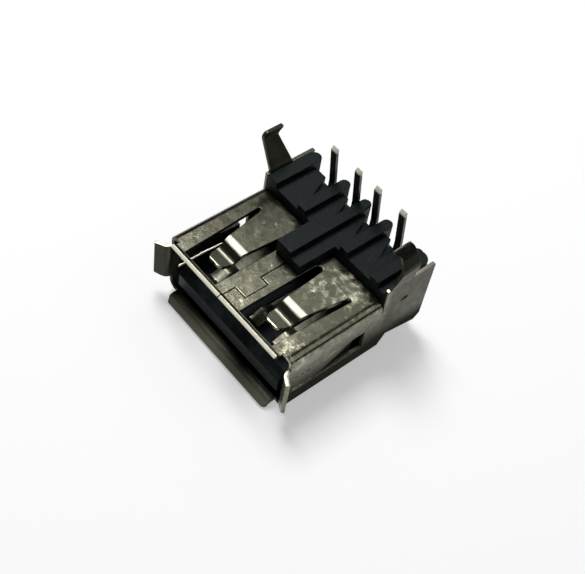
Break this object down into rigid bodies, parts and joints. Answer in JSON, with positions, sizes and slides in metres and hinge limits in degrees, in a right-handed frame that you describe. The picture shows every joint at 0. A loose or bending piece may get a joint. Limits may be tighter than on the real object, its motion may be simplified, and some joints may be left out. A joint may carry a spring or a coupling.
{
  "type": "usb socket",
  "caption": "Upright-pin USB-A socket for a circuit board: folded metal shell with spring fingers, flared mouth, board legs, a ribbed plastic insulator and stamped contacts.",
  "frame": {"origin": "centre of the mouth, on the plane that cuts the flare of its lips", "axes": "+Z points to the board side, -Y points out of the mouth and +X is to the right seen from the mouth with the board side up"},
  "size_m": [0.015, 0.0137, 0.0105],
  "materials": {
    "shell": "dull nickel plating, slightly mottled",
    "insulator": "black, matt, as moulded",
    "contact": "tinned copper alloy"
  },
  "bodies": {
    "root": {"shell": "shell", "insulator": "insulator", "contact_1": "contact", "contact_2": "contact", "contact_3": "contact", "contact_4": "contact"}
  },
  "joints": []
}
